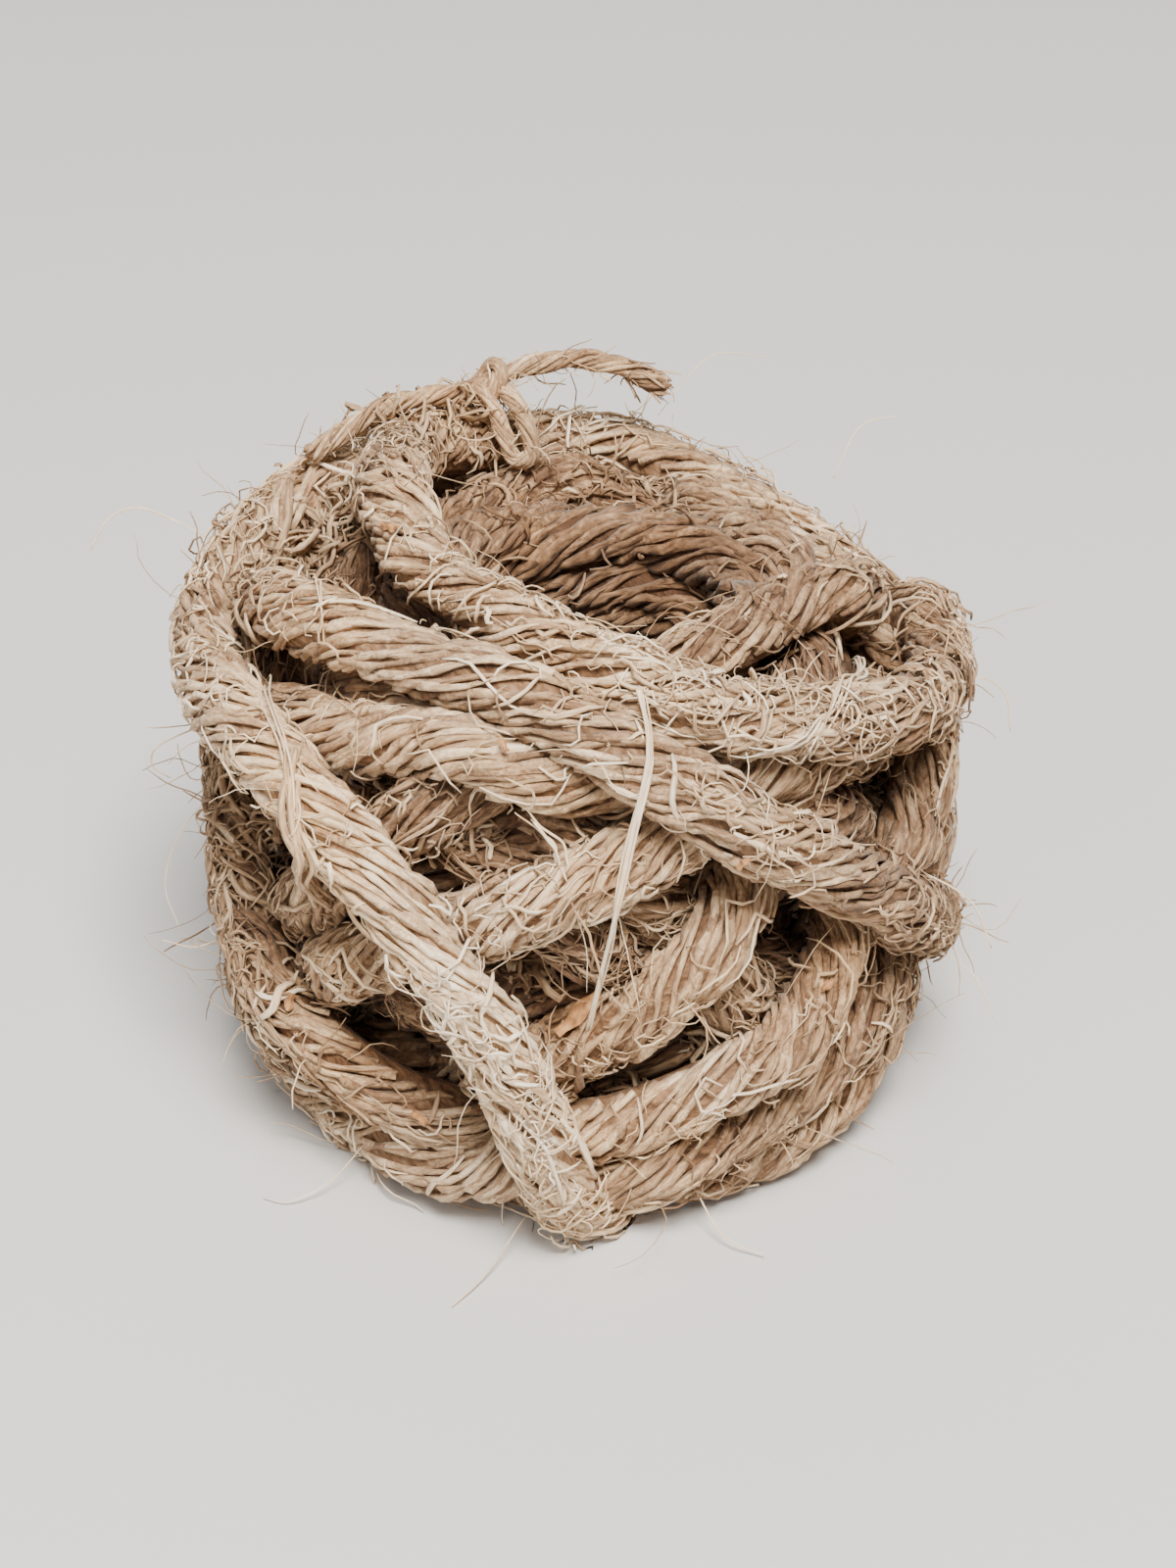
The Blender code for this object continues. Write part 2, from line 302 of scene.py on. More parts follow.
# Fibre finish: streaks that run along each strand, a tone for each strand, and fine dark and pale fibres
def fibreMaterial(name, look):
    shader = Shader(name)
    uv = shader.node("ShaderNodeUVMap", {"uv_map": "strand"})
    across = shader.node("ShaderNodeSeparateXYZ", {}, {0: uv}, 0)
    along = shader.node("ShaderNodeSeparateXYZ", {}, {0: uv}, 1)
    turn = across * (2 * math.pi) + along * look["lay"]
    ring = shader.node("ShaderNodeCombineXYZ", {}, {
        0: turn.maths("COSINE") * look["streakAcross"],
        1: turn.maths("SINE") * look["streakAcross"],
        2: along * look["streakAlong"],
    })
    tone = shader.node("ShaderNodeAttribute", {"attribute_name": "tone"}, None, 2)
    place = shader.node("ShaderNodeTexCoord", {}, None, 3)
    streak = shader.node("ShaderNodeTexNoise", {"noise_dimensions": "4D"},
                         {"Vector": ring, "W": tone * look["toneSeed"], "Scale": 1.0, "Detail": 3.0,
                          "Roughness": 0.6})
    cloud = shader.node("ShaderNodeTexNoise", {},
                        {"Vector": place, "Scale": look["cloudScale"], "Detail": 2.0})
    value = (tone * look["toneWeight"] + streak * look["streakWeight"] + cloud * look["cloudWeight"]
             + look["lift"]).kept()
    colour = shader.node("ShaderNodeValToRGB", {"stops": look["stops"]}, {0: value})
    warm = shader.node("ShaderNodeTexNoise", {},
                       {"Vector": place, "Scale": look["warmScale"], "Detail": 3.0})
    warmth = ((warm - look["warmFrom"]) * look["warmGain"]).kept() * look["warmth"]
    colour = shader.node("ShaderNodeMix", {"data_type": "RGBA", "blend_type": "MULTIPLY"},
                         {0: warmth, 6: colour, 7: (*look["warmTint"], 1.0)}, 2)
    bump = shader.node("ShaderNodeBump", {}, {
        "Height": streak, "Strength": look["bump"], "Distance": look["bumpDepth"] * mm})
    shader.feed(Base_Color=colour, Roughness=look["rough"] - streak * look["roughDip"], Normal=bump)
    shader.feed(Sheen_Weight=look["sheen"], Sheen_Roughness=0.5, Specular_IOR_Level=look["specular"])
    shader.feed(Sheen_Tint=(*look["sheenTint"], 1.0))
    return shader.material


strandLook = {
    "streakAcross": 1.1, "streakAlong": 0.6, "lay": 0.0,
    "cloudScale": 90.0, "warmScale": 60.0, "warmth": 0.75, "warmFrom": 0.42, "warmGain": 3.2,
    "warmTint": (1.0, 0.875, 0.70), "sheenTint": (1.0, 0.93, 0.82), "rough": 0.92, "roughDip": 0.3,
    "toneSeed": 37.0, "toneWeight": 0.80, "streakWeight": 1.0, "cloudWeight": 0.25, "lift": -0.52,
    "bump": 0.85, "bumpDepth": 0.25, "sheen": 0.15, "specular": 0.3,
    "stops": [
        (0.0, (0.085, 0.040, 0.019)),
        (0.22, (0.24, 0.135, 0.070)),
        (0.48, (0.485, 0.325, 0.19)),
        (0.72, (0.79, 0.61, 0.40)),
        (1.0, (1.0, 0.88, 0.70)),
    ],
}
corePitch = 42
hairLook = dict(strandLook, lift=-0.48, bump=0.15, bumpDepth=0.05)
# The cores are much darker than the strands: painted shade in the gaps between the strands
coreLook = dict(strandLook, lift=-0.88, streakAcross=3.2, lay=-2 * math.pi / corePitch,
                bump=0.9, bumpDepth=0.7, sheen=0.05)
tieLook = dict(strandLook, lift=-0.54, streakAcross=1.0, streakAlong=1.0, bumpDepth=0.12)
strandMaterial = fibreMaterial("juteStrand", strandLook)
hairMaterial = fibreMaterial("juteHair", hairLook)
coreMaterial = fibreMaterial("juteCore", coreLook)
tieMaterial = fibreMaterial("juteTwine", tieLook)


# Many thin tubes as one joined mesh. Lines are lines x points x 3 and radii lines x points, in millimetres.
# Shown says which stretches between two points are made, and each run of them has both ends closed.
def tubes(name, lines, radii, tones, material, sides=5, closed=False, shown=None):
    lines, radii = np.asarray(lines, float), np.asarray(radii, float)
    count, points = lines.shape[:2]
    if closed:
        ahead, behind = np.roll(lines, -1, 1), np.roll(lines, 1, 1)
    else:
        ahead = np.concatenate([lines[:, 1:], 2 * lines[:, -1:] - lines[:, -2:-1]], 1)
        behind = np.concatenate([2 * lines[:, :1] - lines[:, 1:2], lines[:, :-1]], 1)
    way = unit(ahead - behind)
    side = np.zeros_like(way)
    first = np.cross(way[:, 0], np.where(np.abs(way[:, 0, 2:3]) < 0.8, [[0.0, 0.0, 1.0]], [[1.0, 0.0, 0.0]]))
    side[:, 0] = unit(first)
    for k in range(1, points):
        side[:, k] = unit(side[:, k - 1] - way[:, k] * (side[:, k - 1] * way[:, k]).sum(-1, keepdims=True))
    up = np.cross(way, side)
    if closed:
        last = side[:, -1]
        miss = np.arctan2((np.cross(last, side[:, 0]) * way[:, 0]).sum(-1), (last * side[:, 0]).sum(-1))
    else:
        miss = np.zeros(count)
    twist = miss[:, None] * np.arange(points)[None, :] / points
    angles = twist[..., None] + 2 * math.pi * np.arange(sides) / sides
    ring = np.cos(angles)[..., None] * side[:, :, None, :] + np.sin(angles)[..., None] * up[:, :, None, :]
    spots = lines[:, :, None, :] + ring * radii[:, :, None, None]
    spots[..., 2] = np.maximum(spots[..., 2], 0.05)
    stretches = points if closed else points - 1
    if shown is None:
        shown = np.ones((count, stretches), bool)
    row, first = np.nonzero(shown)
    second = (first + 1) % points
    j = np.arange(sides)[None, :]
    nextJ = (j + 1) % sides
    here = ((row * points + first) * sides)[:, None]
    there = ((row * points + second) * sides)[:, None]
    quads = np.stack([here + j, here + nextJ, there + nextJ, there + j], -1).reshape(-1, 4)
    before = np.roll(shown, 1, 1) if closed else np.pad(shown, ((0, 0), (1, 0)))[:, :-1]
    after = np.roll(shown, -1, 1) if closed else np.pad(shown, ((0, 0), (0, 1)))[:, 1:]
    opens, closes = (shown & ~before)[row, first], (shown & ~after)[row, first]
    caps = np.concatenate([(here + j)[opens][:, ::-1], (there + j)[closes]])
    step = np.linalg.norm(ahead - lines, axis=-1)
    along = np.cumsum(step, axis=1) - step
    aheadAlong = along + step
    v0, v1 = along[row, first][:, None] + 0.0 * j, aheadAlong[row, first][:, None] + 0.0 * j
    u0, u1 = j / sides + 0.0 * v0, (j + 1) / sides + 0.0 * v0
    corners = np.stack([np.stack(pair, -1) for pair in ((u0, v0), (u1, v0), (u1, v1), (u0, v1))], -2)
    capPlace = np.concatenate([along[row, first][opens], aheadAlong[row, first][closes]])
    capCorners = np.stack([np.zeros(len(capPlace) * sides), np.repeat(capPlace, sides)], -1)
    allCorners = np.r_[quads.reshape(-1), caps.reshape(-1)]
    used, allCorners = np.unique(allCorners, return_inverse=True)
    totals = np.r_[np.full(len(quads), 4), np.full(len(caps), sides)]
    mesh = bpy.data.meshes.new(name)
    mesh.vertices.add(len(used))
    mesh.vertices.foreach_set("co", (spots.reshape(-1, 3)[used] * mm).ravel())
    mesh.loops.add(len(allCorners))
    mesh.loops.foreach_set("vertex_index", allCorners.reshape(-1).astype(np.int32))
    mesh.polygons.add(len(totals))
    mesh.polygons.foreach_set("loop_start", np.r_[0, np.cumsum(totals)[:-1]].astype(np.int32))
    mesh.polygons.foreach_set("loop_total", totals.astype(np.int32))
    mesh.update(calc_edges=True)
    mesh.polygons.foreach_set("use_smooth", np.ones(len(totals), bool))
    layer = mesh.uv_layers.new(name="strand")
    layer.data.foreach_set("uv", np.vstack([corners.reshape(-1, 2), capCorners]).astype(np.float32).ravel())
    tone = mesh.attributes.new("tone", "FLOAT", "POINT")
    tones = np.asarray(tones, float)
    if tones.ndim == 1:
        tones = np.repeat(tones[:, None], points, 1)
    tone.data.foreach_set("value", np.repeat(tones.reshape(-1), sides)[used].astype(np.float32))
    mesh.materials.append(material)
    made = placed(name, mesh)
    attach(made, "root")
    report(f"{name}: {count} lines, {int((totals - 2).sum())} triangles")
    return made


# Slow random drift along a line, from evenly spaced random knots
def drift(count, points, knots, size, closed=False):
    values = chance.normal(0, size, (count, knots))
    where = np.linspace(0, knots if closed else knots - 1, points, endpoint=not closed)
    low = np.floor(where).astype(int)
    part = where - low
    part = part * part * (3 - 2 * part)
    return values[:, low % knots] * (1 - part) + values[:, (low + 1) % knots] * part


# Lines that leave points and wander off into the air
def wanderingLines(roots, outs, length, points, lean, curl):
    total = len(roots)
    slide = unit(np.cross(outs, chance.normal(0, 1, (total, 3))))
    heading = outs * chance.uniform(lean[0], lean[1], (total, 1)) + slide
    bend = chance.normal(0, curl, (total, 3))
    spots = [roots]
    for _ in range(points - 1):
        heading = unit(heading)
        spots.append(spots[-1] + heading * length[:, None] / (points - 1))
        heading = heading + bend + chance.normal(0, curl * 0.7, (total, 3))
    return np.stack(spots, 1)


def tapered(count, points, radius, spread, ends):
    part = np.linspace(0, 1, points)[None, :]
    shape = ends + (1 - ends) * np.sin(math.pi * np.clip(part, 0.02, 0.98)) ** 0.5
    return radius * np.clip(chance.lognormal(0, spread, (count, 1)), 0.5, 2.2) * shape


# Camera at the photo's angle
view = {"elevation": 33.0, "distance": 400.0, "aim": (1.877, -0.515, 35.4), "lens": 54.54, "sensor": 24.0}
camera = placed("camera", bpy.data.cameras.new("camera"))
rise = math.radians(view["elevation"])
aim = Vector(view["aim"]) * mm
camera.location = aim + Vector((0, -math.cos(rise), math.sin(rise))) * view["distance"] * mm
camera.rotation_euler = (math.pi / 2 - rise, 0, 0)
camera.data.sensor_fit = "VERTICAL"
camera.data.sensor_height = view["sensor"]
camera.data.lens = view["lens"]
camera.data.clip_start = 0.01
bpy.context.scene.camera = camera

# The tie: its way over the rim, its small loop and its knot, as in the solids' own source
tieRun = [
    (-30.6, 21.2, 65.6), (-26.5, 24.2, 67.3), (-22.0, 26.6, 69.2), (-17.5, 29.6, 68.9),
    (-13.8, 31.9, 68.3), (-10.6, 33.2, 68.8), (-7.6, 33.4, 70.2), (-4.2, 33.4, 71.3),
    (-0.2, 33.5, 71.7), (3.6, 33.6, 71.1), (6.9, 33.6, 69.8), (10.0, 33.5, 68.0),
]
tieLoop = [
    (-10.0, 32.6, 69.3), (-7.6, 30.2, 68.1), (-6.0, 27.6, 65.8), (-5.6, 26.4, 63.0),
    (-7.4, 26.6, 62.4), (-8.6, 27.8, 64.6), (-10.0, 30.0, 67.4), (-11.4, 32.4, 69.0),
]
tieKnot = [
    (-12.2, 33.4, 67.4), (-10.4, 31.6, 68.2), (-9.2, 32.2, 70.2), (-9.8, 34.4, 70.4),
    (-11.2, 35.0, 68.6),
]
tieSizes = {
    "radius": 1.2, "strands": 9, "strandRadius": 0.36, "pitch": 13.0, "step": 0.55, "knotEvery": 3.5,
    "frayedEnd": 7, "middle": 0.62, "runTone": 0.43, "endDarker": 0.20,
    "hairs": 170, "hairLength": 2.6, "hairRadius": 0.085, "endFibres": 34, "endRadius": 0.15,
}


# A smooth line through a short table of points, with even steps
def eased(table, step, closed=False):
    points = np.array(table, float)
    if closed:
        points = np.vstack([points[-1:], points, points[:2]])
    else:
        points = np.vstack([2 * points[0] - points[1], points, 2 * points[-1] - points[-2]])
    line = []
    for a, b, c, d in zip(points[:-3], points[1:-2], points[2:-1], points[3:]):
        for t in np.linspace(0, 1, 16, endpoint=False):
            line.append(0.5 * ((2 * b) + (c - a) * t + (2 * a - 5 * b + 4 * c - d) * t ** 2
                               + (3 * b - a - 3 * c + d) * t ** 3))
    if not closed:
        line.append(points[-2])
    line = np.array(line)
    return evenLine(line, max(4, int(stepsOf(line).sum() / step)))


# Twisted strands round an open line, with the frame carried along it
def twine(line, radius, tone, loosen=0.0):
    points, strands = len(line), tieSizes["strands"]
    way = unit(np.gradient(line, axis=0))
    side = [unit(np.cross(way[0], [0.0, 0.0, 1.0]))]
    for k in range(1, points):
        side.append(unit(side[-1] - way[k] * side[-1].dot(way[k])))
    side = np.array(side)
    up = np.cross(way, side)
    along = np.r_[0, np.cumsum(stepsOf(line))]
    base = 2 * math.pi * np.arange(strands)[:, None] / strands
    knots = max(5, int(along[-1] / tieSizes["knotEvery"]))
    angle = base - 2 * math.pi * along[None] / tieSizes["pitch"] + drift(strands, points, knots, 0.16)
    end = np.clip((along - along[-1] + tieSizes["frayedEnd"]) / tieSizes["frayedEnd"], 0, 1)[None] * loosen
    height = (radius - tieSizes["strandRadius"]) * (1 + 0.16 * np.cos(2 * base))
    height = height + drift(strands, points, knots, 0.07) + end * 0.15
    height = height + end * np.abs(drift(strands, points, 4, 0.18))
    out = np.cos(angle)[..., None] * side[None] + np.sin(angle)[..., None] * up[None]
    lines = line[None] + out * height[..., None]
    radii = np.full((strands, points), tieSizes["strandRadius"]) * (1 + drift(strands, points, knots, 0.16))
    tones = tone + chance.normal(0, 0.09, (strands, 1)) + drift(strands, points, knots, 0.10)
    tones = tones - tieSizes["endDarker"] * end
    middle = np.full((1, points), radius * tieSizes["middle"])
    radii = np.concatenate([radii, middle])
    radii[:, 0] *= 0.4
    radii[:, -1] *= 0.35
    # The middle line is darker: painted shade between the tie's strands
    tones = np.concatenate([tones, np.full((1, points), tone - 0.25)])
    return np.concatenate([lines, line[None]]), radii, np.clip(tones, 0, 1)


runLine = eased(tieRun, tieSizes["step"]) + moved
lines, radii, tones = twine(runLine, tieSizes["radius"], tieSizes["runTone"], 1.0)
tieStrands = tubes("tieTwine", lines, radii, tones, tieMaterial, sides=5)
bendLines = []
for table, closed, size in ((tieLoop, False, 0.85), (tieKnot, True, 0.95)):
    line = eased(table, tieSizes["step"], closed) + moved
    bendLines.append(twine(line, tieSizes["radius"] * size, tieSizes["runTone"] - 0.03))
most = max(part[0].shape[1] for part in bendLines)
bendLines = [[np.concatenate([block, np.repeat(block[:, -1:], most - block.shape[1], 1)], 1)
              for block in part] + [part[0].shape[1]] for part in bendLines]
shownBends = np.concatenate([np.tile(np.arange(most - 1) < count - 1, (len(block), 1))
                             for block, _, _, count in bendLines])
lines, radii, tones = [np.concatenate([part[k] for part in bendLines]) for k in range(3)]
tieBends = tubes("tieKnot", lines, radii, tones, tieMaterial, sides=5, shown=shownBends)

# Hairs on the tie, and the loose fibres of its frayed end
allTie = np.concatenate([runLine, eased(tieLoop, 0.8) + moved, eased(tieKnot, 0.8, True) + moved])
roots = allTie[chance.integers(0, len(allTie), tieSizes["hairs"])]
outs = unit(chance.normal(0, 1, roots.shape))
sizes = tieSizes["hairLength"] * chance.lognormal(0, 0.45, len(roots))
hairLines = wanderingLines(roots + outs, outs, sizes, 7, (0.05, 0.7), 0.4)
endWay = unit(runLine[-1] - runLine[-6])
total = tieSizes["endFibres"]
endRoots = runLine[-9] + chance.normal(0, 0.5, (total, 3)) + endWay * chance.uniform(-2.0, 2.0, (total, 1))
endOuts = endWay + chance.normal(0, 0.16, (total, 3))
endLines = [endRoots]
for k in range(6):
    endOuts = unit(endOuts)
    endLines.append(endLines[-1] + endOuts * chance.uniform(0.45, 0.75, (total, 1)))
    endOuts = endOuts + chance.normal(0, 0.14, (total, 3))
endLines = np.stack(endLines, 1)
radii = np.concatenate([tapered(len(hairLines), 7, tieSizes["hairRadius"], 0.3, 0.4),
                        tapered(total, 7, tieSizes["endRadius"], 0.3, 0.5)])
tones = np.r_[chance.normal(0.6, 0.15, len(hairLines)), chance.normal(0.34, 0.15, total)]
tieHairs = tubes("tieHairs", np.concatenate([hairLines, endLines]), radii, np.clip(tones, 0, 1),
                 hairMaterial, sides=3)
runMetres = [[float(value) * mm for value in point] for point in runLine]
runLength = float(stepsOf(runLine).sum()) * mm
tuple(runMetres[0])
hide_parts("tie")


# A closed cord line with a frame that turns as little as it can and closes on itself
class Cord:
    def __init__(self, path, count):
        self.line = evenLine(path, count, closed=True)
        ahead, behind = np.roll(self.line, -1, 0), np.roll(self.line, 1, 0)
        way = unit(ahead - behind)
        side = np.zeros_like(way)
        side[0] = unit(np.cross(way[0], [0.0, 0.0, 1.0]))
        for k in range(1, count):
            side[k] = unit(side[k - 1] - way[k] * side[k - 1].dot(way[k]))
        last = unit(side[-1] - way[0] * side[-1].dot(way[0]))
        miss = math.atan2(np.cross(last, side[0]).dot(way[0]), last.dot(side[0]))
        turn = miss * np.arange(count) / count
        up = np.cross(way, side)
        self.side = side * np.cos(turn)[:, None] + up * np.sin(turn)[:, None]
        self.up = np.cross(way, self.side)
        self.length = float(np.linalg.norm(ahead - self.line, axis=1).sum())
        self.count = count

    # A point at a distance along the cord, at an angle round it and a height from its middle
    def at(self, along, angle, height):
        place = (np.asarray(along) / self.length * self.count) % self.count
        low = np.floor(place).astype(int)
        part = (place - low)[..., None]
        high = (low + 1) % self.count
        low = low % self.count
        middle, side, up = [block[low] * (1 - part) + block[high] * part
                            for block in (self.line, self.side, self.up)]
        out = side * np.cos(angle)[..., None] + up * np.sin(angle)[..., None]
        return middle + out * np.asarray(height)[..., None]


turns = settledTurns()
report("turns settled")

cordLook = {
    "strands": 24, "step": 1.3, "sides": 4,
    "place": 3.40, "thick": 0.56, "thin": 0.20, "bundleLength": 4.7, "dive": 0.46,
    "lobes": 3, "lobeDepth": 0.16, "lumps": 0.20, "girth": 0.06,
    "pitch": 41.0, "wander": 0.165, "core": 3.05, "hidden": -0.62,
    "knotEvery": 5.5, "swayEvery": 20, "sway": 0.36, "driftSize": 0.18,
    "girthEvery": 13, "frayEvery": 18, "frayLeast": 0.55, "fraySize": 0.45,
    "phase": 0.30, "plumpPower": 0.75, "allShownUnder": 7.0,
    "toneEach": 0.08, "toneBundle": 0.13, "diveShade": 0.15, "toneCord": 0.07,
    "depthShade": 0.028, "depthShadeFrom": 2.0, "depthShadeSpan": 10,
}
innerLook = dict(cordLook, strands=14, step=2.2, thick=0.85, thin=0.35, bundleLength=8.0, girth=0.03,
                 hidden=-0.15)

# Where the ways out are measured from, and how the wall's form turns into a depth
wall = {"middleReach": 27.0, "middleLow": 22.0, "middleHigh": 48.0, "depthPower": 0.25, "depthScale": 36.0}

# Where the cords are most frayed: place, reach and how much more hair than elsewhere
patchColumns = ("x", "y", "z", "reach", "more")
frayTable = [
    (-31, 15, 57, 10, 1.1),
    (-41, -2, 38, 13, 1.9),
    (-38, -12, 18, 13, 1.5),
    (-5, -40, 30, 14, 1.3),
    (40, -6, 46, 12, 1.1),
    (6, 40, 44, 14, 0.7),
    (34, 26, 20, 12, 0.6),
]

# Painted shade: patches where the fibre is darker, on the left and right sides, the rim at the back left, the
# front bottom and the back: place, reach and how much darker
shadePatchTable = [
    (-46, -8, 34, 26, 0.30),
    (47, -13, 36, 30, 0.46),
    (-30, 24, 64, 22, 0.32),
    (8, -43, 4, 16, 0.26),
    (10, 46, 40, 28, 0.14),
]


# The way out of the wall at each point, and how deep in it the point lies
def outwards(points):
    flat = points[..., :2] - moved[:2]
    out = np.maximum(np.hypot(flat[..., 0], flat[..., 1]), 0.1)
    middle = np.empty_like(points)
    middle[..., :2] = flat / out[..., None] * wall["middleReach"] + moved[:2]
    middle[..., 2] = np.clip(points[..., 2], wall["middleLow"], wall["middleHigh"])
    away = points - middle
    far = np.linalg.norm(away, axis=-1)
    return away / np.maximum(far, 1e-6)[..., None], far


def depthIn(points):
    level = points - moved
    level[..., 2] += ball["floorLift"] + ball["flatPress"]
    value = np.maximum(barrelValue(level, ball["cordRadius"]) + 1, 0.01)
    return (1 - value ** wall["depthPower"]) * wall["depthScale"]


def patchesAt(points, table):
    more = np.zeros(points.shape[:-1])
    for spot in rowsOf(patchColumns, table):
        apart = points - np.array([spot["x"], spot["y"], spot["z"]])
        more = more + spot["more"] * np.exp(-(apart ** 2).sum(-1) / spot["reach"] ** 2)
    return more


def makeCord(path, turn, look):
    length = np.linalg.norm(np.roll(path, -1, 0) - path, axis=1).sum()
    cord = Cord(path, int(length / look["step"]))
    cord.turn, cord.look = turn, look
    cord.outward, cord.far = outwards(cord.line)
    depth = np.clip(depthIn(cord.line), 0, 20)
    knots = max(6, int(cord.length / look["girthEvery"]))
    cord.lump = 1 + drift(1, cord.count, knots, look["girth"], True)[0]
    knots = max(6, int(cord.length / look["frayEvery"]))
    own = look["frayLeast"] + drift(1, cord.count, knots, look["fraySize"], True)[0]
    cord.fray = np.clip(own, 0.1, 1.6) + patchesAt(cord.line, frayTable)
    # Painted shade: fibre that lies deeper in the wall is darker, and the shade patches add more
    depthShade = np.clip(depth - look["depthShadeFrom"], 0, look["depthShadeSpan"]) * look["depthShade"]
    cord.shade = depthShade + patchesAt(cord.line, shadePatchTable)
    return cord


# Of the inner turns the first ring faces the hole and the second the wall. The top turn of each faces up too.
innerFirst = innerTable[0][1]
innerTops = (innerFirst - 1, innerFirst + innerTable[1][1] - 1)
cords = [makeCord(path, turn, cordLook) for turn, path in zip(turnRows, turns)]
innerCords = []
for number, path in enumerate(innerTurns()):
    inFirst = number < innerFirst
    turn = dict(inner, tone=inner["nearTone"] if inFirst else inner["farTone"])
    cord = makeCord(path, turn, innerLook)
    facing = np.array([0.0, 0.0, inner["faceUp"] if number in innerTops else 0.0])
    hole = unit(moved - cord.line * np.array([1.0, 1.0, 0.0]))
    cord.outward = unit((hole if inFirst else -hole) + facing)
    cord.far = np.full(cord.count, inner["inset"])
    cord.shade = np.full(cord.count, inner["shade"])
    innerCords.append(cord)


def strandsOf(cord):
    look, points = cord.look, cord.count
    strands = look["strands"]
    turnsRound = round(cord.length / look["pitch"])
    base = 2 * math.pi * np.arange(strands)[:, None] / strands
    part = np.arange(points)[None, :] / points
    knots = max(6, int(cord.length / look["knotEvery"]))
    loose = np.clip(0.55 + 0.55 * cord.fray, 0.5, 1.9)[None]
    angle = base - 2 * math.pi * turnsRound * part
    angle = angle + drift(strands, points, knots, look["wander"], True) * loose
    angle = angle + drift(1, points, max(4, int(cord.length / look["swayEvery"])), look["sway"], True)
    bundles = max(4, round(cord.length / look["bundleLength"]))
    phase = bundles * part + chance.uniform(0, 1, (strands, 1))
    phase = phase + drift(strands, points, knots, look["phase"], True)
    plump = np.abs(np.sin(math.pi * phase)) ** look["plumpPower"]
    height = look["place"] + np.cos(look["lobes"] * base) * look["lobeDepth"]
    height = height - look["dive"] * (1 - plump) + drift(strands, points, knots, look["lumps"], True) * loose
    radii = look["thin"] + (look["thick"] - look["thin"]) * plump
    radii = radii * np.clip(1 + drift(strands, points, knots, look["driftSize"], True), 0.55, 1.45)
    lines = cord.at(part * cord.length + np.zeros((strands, 1)), angle, height * cord.lump[None])
    tones = cord.turn["tone"] + chance.normal(0, look["toneEach"], (strands, 1))
    # Each bundle's tone drifts at random, and strands are darker where they dive under: painted shade
    tones = tones + drift(strands, points, bundles, look["toneBundle"], True) - look["diveShade"] * (1 - plump)
    tones = tones + drift(1, points, max(5, int(cord.length / look["swayEvery"])), look["toneCord"], True)
    tones = tones - cord.shade[None]
    facing = ((lines - cord.line[None]) * cord.outward[None]).sum(-1) / look["place"]
    shown = (facing > look["hidden"]) | (cord.far[None] < look["allShownUnder"])
    shown = shown & np.roll(shown, -1, 1)
    return lines, radii, np.clip(tones, 0, 1), shown


# Cords of unlike length as one block of lines, each closed on its own first point
def joined(parts):
    most = max(part[0].shape[1] for part in parts)
    filled = []
    for lines, radii, tones, shown in parts:
        missing = most - lines.shape[1]
        closed = [np.concatenate([block, np.repeat(block[:, :1], missing + 1, 1)], 1)
                  for block in (lines, radii, tones)]
        filled.append((*closed, np.pad(shown, ((0, 0), (0, missing)))))
    return [np.concatenate(column) for column in zip(*filled)]


groups = [cords[0:5], cords[5:9], cords[9:12], cords[12:14], cords[14:16]]
for number, group in enumerate(groups):
    lines, radii, tones, shown = joined([strandsOf(cord) for cord in group])
    tubes(f"cordStrands{number + 1}", lines, radii, tones, strandMaterial, sides=cordLook["sides"],
          shown=shown)
lines, radii, tones, shown = joined([strandsOf(cord) for cord in innerCords])
tubes("innerStrands", lines, radii, tones, strandMaterial, sides=4, shown=shown)


def coresOf(name, group, points, sides):
    lines = np.array([evenLine(cord.line, points, closed=True) for cord in group])
    radii = np.array([np.interp(np.arange(points) / points * cord.count, np.arange(cord.count), cord.lump)
                      * cordLook["core"] for cord in group])
    return tubes(name, lines, radii, np.array([cord.turn["tone"] for cord in group]), coreMaterial,
                 sides=sides, closed=True)


cores = coresOf("cordCores", cords, 90, 8)
coresOf("innerCores", innerCords, 60, 8)

# Short hairs that hug the cords, and fibre bundles that lie across them. Spread is how far round the cord
# they go, straight the share that follows its lay, and lift how far they rise.
fuzzColumns = ("name", "count", "points", "length", "radius", "uneven", "ends", "spread", "straight", "lift",
               "wriggle", "sides", "material")
fuzzTable = [
    ("hairs1", 4600, 6, 4.3, 0.15, 0.38, 0.4, 0.95, 0.42, 0.8, 0.95, 3, hairMaterial),
    ("hairs2", 4600, 6, 4.3, 0.15, 0.38, 0.4, 0.95, 0.42, 0.8, 0.95, 3, hairMaterial),
    ("fibreBundles", 1100, 8, 8.0, 0.27, 0.35, 0.2, 0.85, 0.8, 0.4, 0.4, 4, strandMaterial),
]
fuzzLook = {"lay": -0.48, "laySpread": 0.35, "root": 3.85, "roundRadius": 4.2, "paler": 0.10,
            "toneSpread": 0.19}
standing = {"count": 850, "points": 8, "length": 6.5, "radius": 0.08, "root": 3.8, "spread": 0.6}


def places(count, spread):
    fuzzy = cords + innerCords[:innerFirst]
    weights = np.array([cord.length * cord.turn["hair"] * cord.fray.mean()
                        * (1.0 if cord.turn["inset"] < 12 else 0.3) for cord in fuzzy])
    chosen = chance.choice(len(fuzzy), count, p=weights / weights.sum())
    for number, cord in enumerate(fuzzy):
        total = int((chosen == number).sum())
        if total == 0:
            continue
        place = chance.choice(cord.count, total, p=cord.fray / cord.fray.sum())
        along = (place + chance.uniform(0, 1, total)) * cord.length / cord.count
        away = cord.outward[place]
        best = np.arctan2((away * cord.up[place]).sum(-1), (away * cord.side[place]).sum(-1))
        angle = best + np.clip(chance.normal(0, spread, total), -2.3, 2.3)
        yield cord, along, angle, cord.shade[place]


